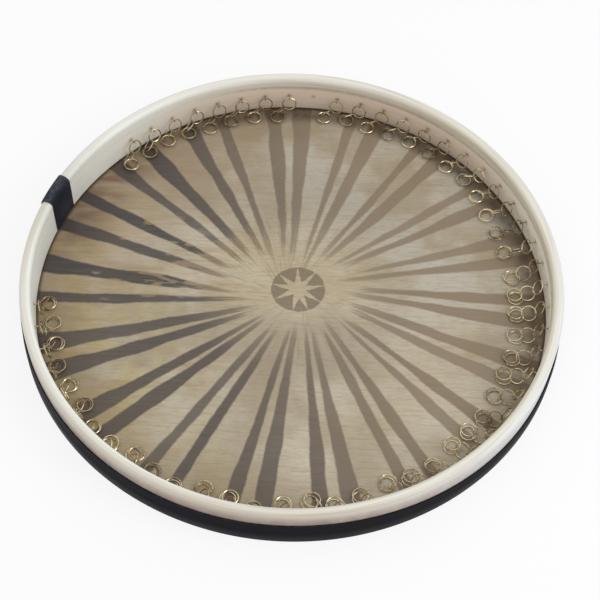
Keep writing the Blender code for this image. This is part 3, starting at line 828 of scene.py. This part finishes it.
# The ring chains
# Four brass rings on each hook: one, then a second, then a pair. Each is a turn of wire, closed by hand.
# The first hangs from its hook, and the others lie on the skin and jingle against it.
RING_RADIUS = 0.00735
RING_STEPS = 16
RING_SIDES = 5
RING_JOINT = math.radians(3.0)
JOINT_TURN = math.radians(24.0)
JOINT_CHAIN_STEP = 7.0
JOINT_RING_STEP = 3.0
RING_LEAN = math.radians(30.0)
SLACK_LEAN = math.radians(9.0)
RING_SKIN_GAP = 0.0003
LINK_ROLL = math.radians(50.0)
LINK_GAP = 0.0014
PAIR_GAP = 0.0016
GAP_MOST = 0.0034
PAIR_LIFT = 0.0004
PAIR_HALF_SPREAD = 0.00125
STRAIGHT_ANGLE = math.radians(10.0)
SWAY_MOST = math.radians(78.0)
BACK_TURN = 2.0
FRONT_TURN = 0.45
SWAY_JITTER = math.radians(5.0)
FRONT_JITTER = math.radians(12.0)
SWAY_STEP = 1.9
SLIP_SHARE = 0.62
PAIR_TURN = 0.7
PAIR_STRAY = math.radians(24.0)
STRAY_STEP = 2.7
PAIR_FAN = math.radians(9.0)
FAN_STEP = 4.1
SLOPE_TRIES = 40
RING_CLEAN = (214, 199, 165)
RING_DULL = (134, 115, 83)

link_reach = RING_RADIUS - LINK_GAP
ring_rest = SKIN_THICKNESS + RING_SKIN_GAP + WIRE_RADIUS - seat_level


def ring_mesh():
    """Return the mesh of one ring: a turn of wire whose ends almost meet, at a quarter turn from X."""
    bm = bmesh.new()
    start = QUARTER_TURN + RING_JOINT / 2.0
    outward = Matrix.Rotation(start, 4, "Z") @ Matrix.Translation((RING_RADIUS, 0.0, 0.0))
    bmesh.ops.create_circle(
        bm, cap_ends=False, segments=RING_SIDES, radius=WIRE_RADIUS,
        matrix=outward @ Matrix.Rotation(QUARTER_TURN, 4, "X"),
    )
    bmesh.ops.spin(
        bm, geom=bm.verts[:] + bm.edges[:], cent=(0.0, 0.0, 0.0), axis=UP,
        angle=FULL_TURN - RING_JOINT, steps=RING_STEPS,
    )
    bmesh.ops.holes_fill(bm, edges=[edge for edge in bm.edges if edge.is_boundary], sides=0)
    bmesh.ops.recalc_face_normals(bm, faces=bm.faces)
    mesh = bpy.data.meshes.new("ring")
    bm.to_mesh(mesh)
    bm.free()
    return mesh


def laid(along, across, centre):
    """Return the placement of a ring whose plane holds both directions."""
    axes = Matrix((along, across, along.cross(across))).transposed().to_4x4()
    return Matrix.Translation(centre) @ axes


def heading(yaw, slope):
    """Return the direction inward from the wall, swung sideways and sloping down."""
    level = math.cos(slope)
    return Vector((level * math.cos(yaw), level * math.sin(yaw), -math.sin(slope)))


def slope_to_rest(drop):
    """Return the slope at which the second ring reaches down from its link to the skin."""
    low, high = 0.0, QUARTER_TURN
    for _ in range(SLOPE_TRIES):
        slope = (low + high) / 2.0
        upright = math.hypot(math.sin(slope), math.cos(slope) * math.cos(LINK_ROLL))
        if link_reach * math.sin(slope) + RING_RADIUS * upright < drop:
            low = slope
        else:
            high = slope
    return low


def chain_placements(sway, stray, fan):
    """Return the placements of a chain's four rings in the frame of its seat.

    Sway turns the chain aside from straight inward. Stray turns its last two rings further, and fan
    spreads them.
    """
    lean = SLACK_LEAN + (RING_LEAN - SLACK_LEAN) * math.cos(sway)
    hanging = Vector((math.sin(lean), 0.0, -math.cos(lean)))
    sideways = Vector((0.0, 1.0, 0.0))
    slip = SLIP_SHARE * sway
    pulled = math.cos(slip) * hanging + math.sin(slip) * sideways
    across = math.cos(slip) * sideways - math.sin(slip) * hanging
    first_centre = RING_RADIUS * hanging
    placements = [laid(pulled, across, first_centre)]

    link = first_centre + RING_RADIUS * pulled
    second = heading(sway, slope_to_rest(link.z - ring_rest))
    level = UP.cross(second).normalized()
    roll = -math.copysign(LINK_ROLL, sway)
    rolled = math.cos(roll) * second.cross(level) + math.sin(roll) * level
    second_centre = link + link_reach * second
    placements.append(laid(second, rolled, second_centre))

    spread = math.asin(PAIR_HALF_SPREAD / RING_RADIUS)
    pile = 2.0 * PAIR_HALF_SPREAD * rolled.z
    for order, turn in enumerate((-spread, spread)):
        crossing = second_centre + RING_RADIUS * (math.cos(turn) * second + math.sin(turn) * rolled)
        wire = math.cos(turn) * rolled - math.sin(turn) * second
        drop = crossing.z - ring_rest - PAIR_LIFT - order * pile
        slope = math.asin(drop / (RING_RADIUS + link_reach))
        lying = heading(stray - PAIR_TURN * sway + math.copysign(fan, -turn * sway), slope)
        across = UP.cross(lying).normalized()
        square = abs(lying.dot(wire.cross(across).normalized()))
        reach_past = RING_RADIUS - min(PAIR_GAP / square, GAP_MOST)
        placements.append(laid(lying, across, crossing + reach_past * lying))
    return placements


ring_brass = metal_finish("ring brass", RING_CLEAN, RING_DULL, smooth=0.26, rough=0.44)
ring = ring_mesh()
for number, (angle, seat_frame) in enumerate(zip(hook_angles, seat_frames), start=1):
    off_straight = angle - STRAIGHT_ANGLE
    turn = max(FRONT_TURN * off_straight, min(BACK_TURN * off_straight, QUARTER_TURN))
    restless = SWAY_JITTER + FRONT_JITTER * max(0.0, -math.sin(angle))
    sway = restless * math.sin(SWAY_STEP * number) - SWAY_MOST * math.sin(turn)
    stray = math.copysign(PAIR_STRAY * math.sin(STRAY_STEP * number) ** 2, sway)
    fan = PAIR_FAN * math.cos(FAN_STEP * number) ** 2
    chain = []
    for order, placement in enumerate(chain_placements(sway, stray, fan)):
        joint_turn = JOINT_TURN * math.sin(JOINT_CHAIN_STEP * number + JOINT_RING_STEP * order)
        flipped = Matrix.Rotation(math.pi * ((number + order) % 2), 4, "X")
        chain.append((ring, seat_frame @ placement @ flipped @ Matrix.Rotation(joint_turn, 4, "Z")))
    name = f"ring_chain_{number:02d}"
    dress(f"rings_{number:02d}", gathered(chain), ring_brass, name, "ring_brass", name)

# The studio
# A plain pale floor under the drum, one broad soft lamp high on the right, and a weak one on the left.
# The camera stands where the photograph was taken from.
CAMERA_RISE = math.radians(55.31)
CAMERA_DISTANCE = 1.3176
CAMERA_ROLL = math.radians(2.60)
CAMERA_LENS = 79.25
AIM_RIGHT = 0.0079
AIM_UP = -0.0041
FLOOR_HALF = 6.0
FLOOR_DROP = 0.0002
FLOOR_GLOW = 0.84
FLOOR_DARK = (236, 236, 236)
FLOOR_LIGHT = (240, 240, 240)
SKY_LIGHT = 0.78
WHITE = (1.0, 1.0, 1.0, 1.0)

scene = bpy.context.scene
scene.view_settings.view_transform = "Standard"


def seen_straight(tree):
    """Return a mask that is 1 for what the camera, a mirror or glass sees."""
    path = add(tree, "LightPath").outputs
    mirrored = calc(tree, "MAXIMUM", path["Is Glossy Ray"], path["Is Transmission Ray"])
    return calc(tree, "MAXIMUM", path["Is Camera Ray"], mirrored)


def floor_finish():
    """Return a pale floor that shows almost white, and keeps the drum's shadow."""
    finish, tree, shader = new_finish("studio floor")
    place = add(tree, "TexCoord").outputs["Object"]
    tone = blend(tree, noise(tree, place, 3.0), colour(*FLOOR_DARK), colour(*FLOOR_LIGHT))
    tree.links.new(tone, shader.inputs["Base Color"])
    shader.inputs["Roughness"].default_value = 0.9
    glow = add(tree, "Emission", {"Color": WHITE, "Strength": 1.0})
    share = times(tree, seen_straight(tree), FLOOR_GLOW)
    mixed = add(tree, "MixShader", {0: share, 1: shader.outputs[0], 2: glow.outputs[0]})
    tree.links.new(mixed.outputs[0], tree.nodes["Material Output"].inputs["Surface"])
    return finish


floor_bm = bmesh.new()
bmesh.ops.create_grid(floor_bm, x_segments=1, y_segments=1, size=FLOOR_HALF)
floor_mesh = bpy.data.meshes.new("studio_floor")
floor_bm.to_mesh(floor_mesh)
floor_bm.free()
floor_mesh.materials.append(floor_finish())
floor = bpy.data.objects.new("studio_floor", floor_mesh)
floor.location.z = -FLOOR_DROP
scene.collection.objects.link(floor)


def lamp(name, place, size, watts):
    """Add a square soft lamp that faces the drum."""
    light = bpy.data.lights.new(name, "AREA")
    light.size = size
    light.energy = watts
    made = bpy.data.objects.new(name, light)
    made.location = place
    made.rotation_euler = (-Vector(place)).to_track_quat("-Z", "Y").to_euler()
    scene.collection.objects.link(made)


lamp("right_lamp", place=(1.3, -0.45, 1.25), size=0.9, watts=10.5)
lamp("left_lamp", place=(-1.2, 0.5, 1.6), size=1.4, watts=3.0)

world = bpy.data.worlds.new("studio")
world.use_nodes = True
scene.world = world
sky = world.node_tree.nodes["Background"]
sky.inputs["Color"].default_value = WHITE
glare = graded(world.node_tree, seen_straight(world.node_tree), SKY_LIGHT, 1.0)
world.node_tree.links.new(glare, sky.inputs["Strength"])

forward = Vector((0.0, math.cos(CAMERA_RISE), -math.sin(CAMERA_RISE)))
level_right = Vector((1.0, 0.0, 0.0))
level_up = level_right.cross(forward)
right = math.cos(CAMERA_ROLL) * level_right + math.sin(CAMERA_ROLL) * level_up
up = math.cos(CAMERA_ROLL) * level_up - math.sin(CAMERA_ROLL) * level_right
view = bpy.data.cameras.new("camera")
view.lens = CAMERA_LENS
camera = bpy.data.objects.new("camera", view)
stand = AIM_RIGHT * right + AIM_UP * up - CAMERA_DISTANCE * forward
camera.matrix_world = Matrix.Translation(stand) @ Matrix((right, up, -forward)).transposed().to_4x4()
scene.collection.objects.link(camera)
scene.camera = camera
